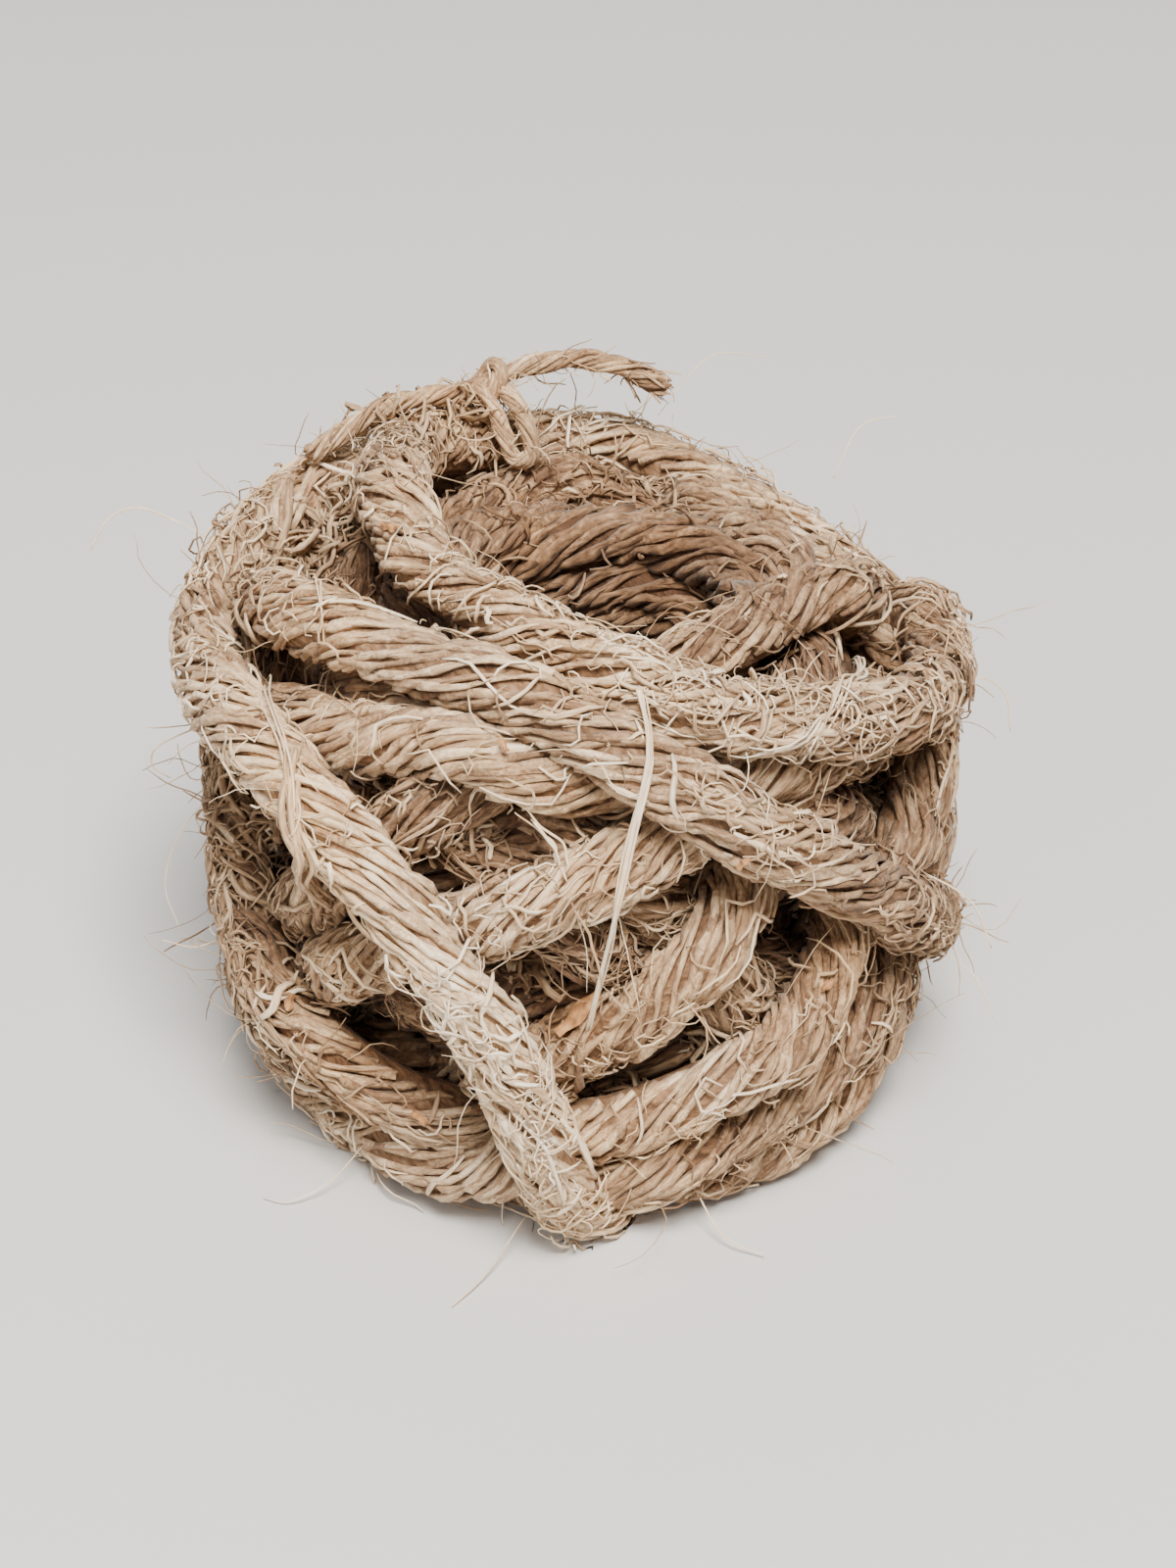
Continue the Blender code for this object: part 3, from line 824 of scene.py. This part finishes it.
def surfaceLines(fuzz):
    points = fuzz["points"]
    allLines, allTones = [], []
    for cord, along, angle, shade in places(fuzz["count"], fuzz["spread"]):
        total = len(along)
        size = fuzz["length"] * np.clip(chance.lognormal(0, 0.45, total), 0.35, 2.8)
        heading = np.where(chance.random(total) < fuzz["straight"],
                           chance.normal(fuzzLook["lay"], fuzzLook["laySpread"], total),
                           chance.uniform(-math.pi, math.pi, total))
        heading = np.where(chance.random(total) < 0.5, heading, heading + math.pi)
        curl = drift(total, points, 4, fuzz["wriggle"])
        curl = curl - curl[:, :1] + heading[:, None]
        step = size[:, None] / (points - 1)
        run = np.cumsum(np.cos(curl) * step, axis=1)
        turn = np.cumsum(np.sin(curl) * step, axis=1) / fuzzLook["roundRadius"]
        part = np.linspace(0, 1, points)[None, :]
        top = chance.uniform(0.05, fuzz["lift"], (total, 1))
        top = top + (chance.random((total, 1)) < 0.12) * fuzz["lift"]
        arch = np.sin(math.pi * np.clip(part * chance.uniform(0.6, 1.0, (total, 1)), 0, 1)) ** 0.8
        spots = cord.at(along[:, None] + run, angle[:, None] + turn, fuzzLook["root"] + top * arch)
        own = cord.turn["tone"] + fuzzLook["paler"]
        allLines.append(spots)
        allTones.append(np.clip(own + chance.normal(0, fuzzLook["toneSpread"], total) - shade, 0, 1))
    return np.concatenate(allLines), np.concatenate(allTones)


for fuzz in rowsOf(fuzzColumns, fuzzTable):
    lines, tones = surfaceLines(fuzz)
    radii = tapered(len(lines), fuzz["points"], fuzz["radius"], fuzz["uneven"], fuzz["ends"])
    tubes(fuzz["name"], lines, radii, tones, fuzz["material"], sides=fuzz["sides"])

# Long hairs that stand off
lines, tones = [], []
for cord, along, angle, shade in places(standing["count"], standing["spread"]):
    total = len(along)
    root = cord.at(along, angle, np.full(total, standing["root"]))
    out = cord.at(along, angle, np.full(total, standing["root"] + 1)) - root
    size = standing["length"] * np.clip(chance.lognormal(0, 0.5, total), 0.4, 1.9)
    lines.append(wanderingLines(root, out, size, standing["points"], (0.15, 1.0), 0.25))
    own = cord.turn["tone"] + fuzzLook["paler"] + chance.normal(0, 0.15, total) - shade
    tones.append(np.clip(own, 0, 1))
lines, tones = np.concatenate(lines), np.concatenate(tones)
radii = tapered(len(lines), standing["points"], standing["radius"], 0.3, 0.4)
tubes("standingHairs", lines, radii, tones, hairMaterial, sides=3)

# Tangled fibre that fills the wide gap under the rim, upper left, and the gaps between the turns
tangleColumns = ("x", "y", "z", "reach", "lines", "tone")
tangleTable = [
    (-30.0, 15.0, 56.0, 5.0, 120, 0.32),
    (-27.0, 20.0, 59.0, 4.0, 60, 0.36),
    (-35.0, 6.0, 52.0, 3.6, 60, 0.34),
    (-33.0, -6.5, 33.0, 3.6, 44, 0.40),
    (-23.5, -14.0, 15.0, 3.4, 36, 0.38),
    (-35.0, 12.0, 44.0, 3.2, 34, 0.40),
    (33.5, 6.0, 32.5, 3.6, 40, 0.36),
    (22.5, -14.5, 30.5, 3.4, 36, 0.38),
    (4.2, -29.0, 16.0, 3.2, 34, 0.40),
    (15.0, -26.0, 20.0, 3.4, 36, 0.40),
    (-4.6, -28.0, 30.5, 3.4, 36, 0.42),
    (-10.0, -28.0, 47.5, 2.6, 30, 0.44),
    (-19.0, -21.0, 47.5, 3.0, 30, 0.44),
    (-20.0, 27.5, 66.0, 3.4, 44, 0.44),
    (-13.0, 31.0, 66.0, 3.0, 30, 0.44),
]
tangle = {"points": 11, "step": 1.3, "radius": 0.28, "rootPart": 0.45, "turn": 0.55, "pull": 0.55}
lines, radii, tones = [], [], []
for spot in rowsOf(tangleColumns, tangleTable):
    total, reach = spot["lines"], spot["reach"]
    middle = np.array([spot["x"], spot["y"], spot["z"]])
    line = [middle + chance.normal(0, reach * tangle["rootPart"], (total, 3))]
    heading = chance.normal(0, 1, (total, 3))
    for _ in range(tangle["points"] - 1):
        pull = (middle - line[-1]) / reach * tangle["pull"]
        heading = unit(heading + chance.normal(0, tangle["turn"], (total, 3)) + pull)
        line.append(line[-1] + heading * tangle["step"])
    lines.append(np.stack(line, 1))
    radii.append(tapered(total, tangle["points"], tangle["radius"], 0.35, 0.3))
    tones.append(np.clip(spot["tone"] + chance.normal(0, 0.15, total), 0, 1))
lines, radii, tones = [np.concatenate(block) for block in (lines, radii, tones)]
tubes("tangles", lines, radii, tones, strandMaterial, sides=3)

# The way the camera looks, for what is placed where the photo shows it: right and up of the aim, in mm
lookWay = np.array([0.0, math.cos(rise), -math.sin(rise)])
lookUp = np.array([0.0, math.sin(rise), math.cos(rise)])
allCords = np.concatenate([cord.line for cord in cords + innerCords])


def onSurface(right, up, proud):
    start = np.array(view["aim"]) + right * np.array([1.0, 0.0, 0.0]) + up * lookUp
    eye = np.array(view["aim"]) - lookWay * view["distance"]
    way = unit(start - eye)
    for reach in np.arange(330.0, 450.0, 0.25):
        spot = eye + way * reach
        near = np.sqrt(((allCords - spot) ** 2).sum(-1))
        if near.min() < proud or spot[2] < 0.4:
            return spot
    return start


# Loose fibres over the turns: down the front, a short pale one, the loose ply at the left, beside it, in the
# middle and at the right
looseColumns = ("fibres", "radius", "spread", "tone", "points")
looseTable = [
    (6, 0.17, 0.24, 0.88, [
        (4.8, 14.7), (6.1, 8.8), (6.9, 4.5), (6.6, 0.8), (5.3, -3.8),
        (4.4, -8.7), (3.4, -13.5), (2.2, -18.4), (1.0, -23.2), (-0.2, -28.2)]),
    (2, 0.14, 0.2, 0.95, [(-30.5, 23.5), (-29.9, 19.5), (-29.6, 15.7)]),
    (9, 0.30, 0.62, 0.46, [
        (-33.4, 3.5), (-33.6, -1.0), (-33.0, -5.5), (-31.4, -9.5), (-29.4, -13.1)]),
    (4, 0.16, 0.5, 0.74, [(-36.5, 12.0), (-34.0, 5.0), (-33.0, -2.5), (-30.5, -9.0)]),
    (3, 0.15, 0.5, 0.80, [(-7.0, -3.0), (-3.5, -6.5), (-2.0, -11.0)]),
    (4, 0.14, 0.5, 0.80, [(24.0, 3.0), (28.0, 8.5), (30.0, 14.0)]),
]
loose = {"looks": 15, "points": 26, "proud": 4.6, "bridgeRounds": 40, "sunk": 1.6, "nearer": 0.25}
lines, radii, tones = [], [], []
for row in rowsOf(looseColumns, looseTable):
    lookedAt = evenLine(np.array([(right, up, 0.0) for right, up in row["points"]]), loose["looks"])
    spots = np.array([onSurface(right, up, loose["proud"]) for right, up, _ in lookedAt])
    deep = spots @ lookWay
    # A fibre bridges the gaps between the turns it lies on
    for _ in range(loose["bridgeRounds"]):
        deep[1:-1] = np.minimum(deep[1:-1], (deep[:-2] + deep[2:]) / 2)
    spots = spots + (deep - spots @ lookWay)[:, None] * lookWay
    line = evenLine(eased(spots, 0.8), loose["points"])
    fade = np.abs(np.linspace(-1, 1, loose["points"]))[:, None] ** 3
    sunk = lookWay[None] * fade * loose["sunk"]
    for _ in range(row["fibres"]):
        offset = np.stack([drift(1, loose["points"], 5, row["spread"])[0] for _ in range(3)], -1)
        lines.append(line + offset + sunk - lookWay[None] * loose["nearer"])
        radii.append(tapered(1, loose["points"], row["radius"], 0.25, 0.35)[0])
        tones.append(np.clip(row["tone"] + chance.normal(0, 0.07), 0, 1))
tubes("looseFibres", np.array(lines), np.array(radii), np.array(tones), hairMaterial, sides=4)

# Long stray hairs on the outline, as places in the round
strayTable = [
    [(-41.5, 15.2, 58.6), (-44.5, 15.9, 60.0), (-48.7, 16.4, 61.4), (-52.0, 15.7, 60.3), (-53.9, 13.9, 57.5)],
    [(-38.5, 3.1, 41.5), (-42.6, 1.9, 41.0), (-46.6, 1.3, 39.0), (-47.0, 0.6, 37.0), (-45.1, 0.3, 35.7)],
    [(-38.5, -0.5, 36.4), (-43.6, -3.8, 31.4), (-45.6, -6.5, 26.0), (-44.0, -8.9, 21.5)],
    [(-35.0, -14.0, 13.5), (-38.0, -15.5, 11.0), (-39.5, -17.0, 8.0)],
    [(-37.5, -9.0, 21.5), (-42.0, -9.8, 19.6), (-46.0, -9.5, 20.3)],
    [(-5.0, -37.0, 3.0), (-8.0, -42.5, 1.6), (-10.2, -45.5, 0.6), (-12.6, -48.5, 0.3)],
    [(13.0, -33.0, 5.0), (16.5, -38.5, 1.8), (21.0, -40.5, 0.5)],
    [(-22.0, -25.0, 5.0), (-26.5, -29.5, 2.0), (-31.0, -31.5, 0.6), (-34.0, -30.5, 0.4)],
    [(41.0, 4.0, 44.0), (45.5, 4.2, 46.5), (48.5, 3.0, 45.0), (49.0, 1.0, 41.5)],
    [(40.0, -10.0, 20.0), (45.0, -12.0, 17.5), (47.5, -13.5, 12.5)],
    [(38.0, -14.0, 33.0), (43.5, -17.0, 31.0), (46.0, -19.0, 26.0)],
    [(30.0, 26.0, 60.0), (33.0, 29.0, 65.0), (37.5, 30.0, 66.0)],
    [(-8.0, 40.0, 42.0), (-11.0, 46.0, 44.0), (-9.0, 50.0, 43.0)],
    [(20.0, 36.0, 24.0), (24.0, 42.0, 22.0), (24.0, 46.0, 16.0)],
    [(-28.0, 30.0, 30.0), (-33.0, 35.0, 33.0), (-39.0, 36.0, 31.0)],
    [(10.0, 34.0, 64.0), (16.0, 40.0, 68.5), (23.0, 41.0, 68.0)],
]
stray = {"points": 20, "step": 0.5, "radius": 0.11, "tone": 0.78}
lines = np.array([evenLine(eased(table, stray["step"]), stray["points"]) for table in strayTable])
radii = tapered(len(lines), stray["points"], stray["radius"], 0.2, 0.45)
tones = np.clip(chance.normal(stray["tone"], 0.08, len(lines)), 0, 1)
tubes("strayHairs", lines, radii, tones, hairMaterial, sides=4)

# Bark chips caught in the fibre: place as right and up of the aim, size and turn
chipColumns = ("right", "up", "long", "wide", "turn")
chipTable = [
    (-1.2, -25.6, 6.4, 2.3, 80),
    (-22.4, 29.0, 2.4, 1.0, 20),
    (-19.0, -37.5, 2.0, 0.9, 140),
    (17.5, -9.0, 1.8, 0.8, 60),
    (-9.5, 4.5, 1.6, 0.7, 110),
    (27.0, -22.5, 1.7, 0.8, 30),
    (-33.5, -24.5, 1.9, 0.9, 75),
]
chip = {
    "proud": 4.95, "thick": 0.22, "curved": 0.25, "waved": 0.12, "noiseScale": 900.0,
    "sortWay": (1.0, 0.37, 0.11),
    "stops": [(0.25, (0.17, 0.070, 0.026)), (0.5, (0.48, 0.225, 0.085)), (0.75, (0.70, 0.41, 0.18))],
}
chipWork = bmesh.new()
for row in rowsOf(chipColumns, chipTable):
    spot = onSurface(row["right"], row["up"], chip["proud"])
    nearest = allCords[np.argmin(((allCords - spot) ** 2).sum(-1))]
    out = Vector((spot - nearest)).normalized()
    turned = out.to_track_quat("Z", "Y").to_matrix().to_4x4()
    turned = turned @ Matrix.Rotation(math.radians(row["turn"]), 4, "Z")
    turned.translation = Vector(spot) * mm
    corners = bmesh.ops.create_grid(chipWork, x_segments=7, y_segments=3, size=0.5 * mm)["verts"]
    for corner in corners:
        along, over = corner.co.x / mm, corner.co.y / mm
        narrow = 1 - 1.6 * abs(along) ** 2.5 - 0.25 * math.sin(along * 9 + row["turn"])
        corner.co.x *= row["long"]
        corner.co.y *= row["wide"] * narrow
        corner.co.z = (chip["curved"] * math.cos(over * 5) + chip["waved"] * math.sin(along * 7)) * mm
    bmesh.ops.transform(chipWork, matrix=turned, verts=corners)
bmesh.ops.solidify(chipWork, geom=chipWork.faces[:], thickness=chip["thick"] * mm)
bmesh.ops.recalc_face_normals(chipWork, faces=chipWork.faces)
# Solidify lists its rim faces in a new order each run, so they are put in a fixed one
chipWork.faces.sort(key=lambda face: face.calc_center_median().dot(Vector(chip["sortWay"])))
chipShader = Shader("bark")
chipPlace = chipShader.node("ShaderNodeTexCoord", {}, None, 3)
chipNoise = chipShader.node("ShaderNodeTexNoise", {},
                            {"Vector": chipPlace, "Scale": chip["noiseScale"], "Detail": 4.0})
chipColour = chipShader.node("ShaderNodeValToRGB", {"stops": chip["stops"]}, {0: chipNoise})
chipBump = chipShader.node("ShaderNodeBump", {},
                           {"Height": chipNoise, "Strength": 0.5, "Distance": 0.1 * mm})
chipShader.feed(Base_Color=chipColour, Roughness=0.62 + chipNoise * 0.3, Normal=chipBump)
chips = placedWork("barkChips", chipWork, chipShader.material)
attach(chips, "root")
report("chips and loose fibres made")

# Pale floor and soft studio light
studio = {
    "floorSize": 6.0,
    "floorColour": (0.66, 0.65, 0.635),
    "world": 0.20,
    "worldColour": (0.93, 0.95, 1.0),
    "lamps": [
        ("key", (0.12, -0.58, 1.12), 0.46, 40.0, (1.0, 0.955, 0.895)),
        ("fill", (-0.60, -0.90, 0.70), 1.0, 4.5, (0.97, 0.98, 1.0)),
        ("back", (-0.20, 0.90, 0.90), 0.9, 3.0, (1.0, 0.98, 0.95)),
    ],
}
work = bmesh.new()
bmesh.ops.create_grid(work, x_segments=2, y_segments=2, size=studio["floorSize"] / 2)
floorShader = Shader("paleFloor")
floorShader.feed(Base_Color=(*studio["floorColour"], 1.0), Roughness=0.7)
placedWork("floor", work, floorShader.material)
world = bpy.data.worlds.new("studio")
world.use_nodes = True
world.node_tree.nodes["Background"].inputs[0].default_value = (*studio["worldColour"], 1.0)
world.node_tree.nodes["Background"].inputs[1].default_value = studio["world"]
bpy.context.scene.world = world
for name, place, size, power, colour in studio["lamps"]:
    lamp = bpy.data.lights.new(name, "AREA")
    lamp.size = size
    lamp.energy = power
    lamp.color = colour
    made = placed(name, lamp)
    made.location = place
    made.rotation_euler = (aim - Vector(place)).to_track_quat("-Z", "Y").to_euler()

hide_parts("winding")
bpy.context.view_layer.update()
report("finished")
